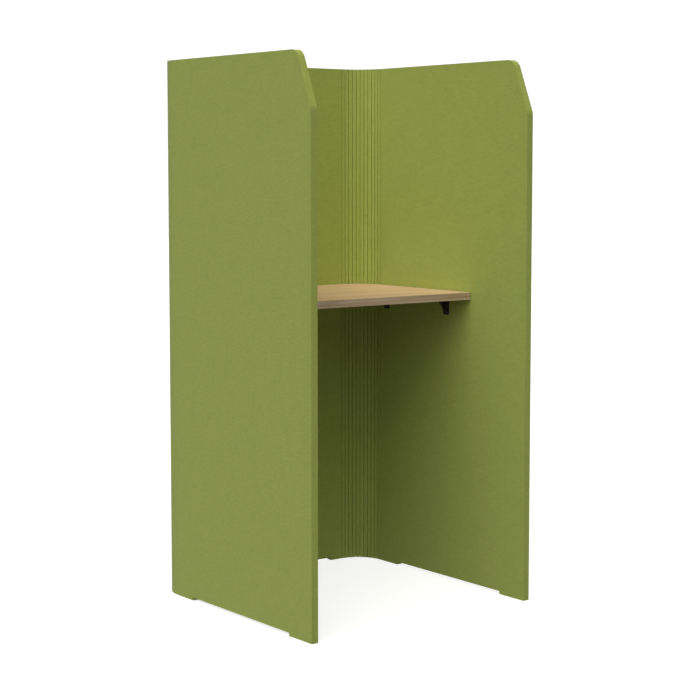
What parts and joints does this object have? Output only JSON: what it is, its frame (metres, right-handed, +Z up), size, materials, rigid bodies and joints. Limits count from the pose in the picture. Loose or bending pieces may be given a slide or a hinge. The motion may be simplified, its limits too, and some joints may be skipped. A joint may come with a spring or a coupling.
{
  "type": "study carrel",
  "caption": "Stand-up study carrel: a three-sided felt wall with kerf-bent rear corners round a veneered worktop carried on small gusset brackets.",
  "frame": {"origin": "on the floor at the middle of the footprint", "axes": "+Z up, +Y from the open front to the back wall, +X to the right of a person facing into the carrel"},
  "size_m": [0.9, 0.9, 1.8],
  "materials": {
    "felt_board": "matte",
    "spline_aluminium": "satin",
    "board_core": "matte",
    "oak_veneer": "satin",
    "oak_edging": "satin",
    "black_coated_steel": "matte",
    "black_zinc_steel": "satin",
    "insert_brass": "satin"
  },
  "bodies": {
    "root": {"left_wall_panel": "felt_board", "right_wall_panel": "felt_board", "back_joint_spline": "spline_aluminium", "worktop_core": "board_core", "worktop_top_veneer": "oak_veneer", "worktop_bottom_veneer": "oak_veneer", "worktop_front_edging": "oak_edging", "worktop_contour_edging": "oak_edging", "right_front_bracket": "black_coated_steel", "right_rear_bracket": "black_coated_steel", "left_front_bracket": "black_coated_steel", "left_rear_bracket": "black_coated_steel", "worktop_screws": "black_zinc_steel", "wall_screws": "black_zinc_steel", "wall_insert_nuts": "insert_brass"}
  },
  "joints": []
}
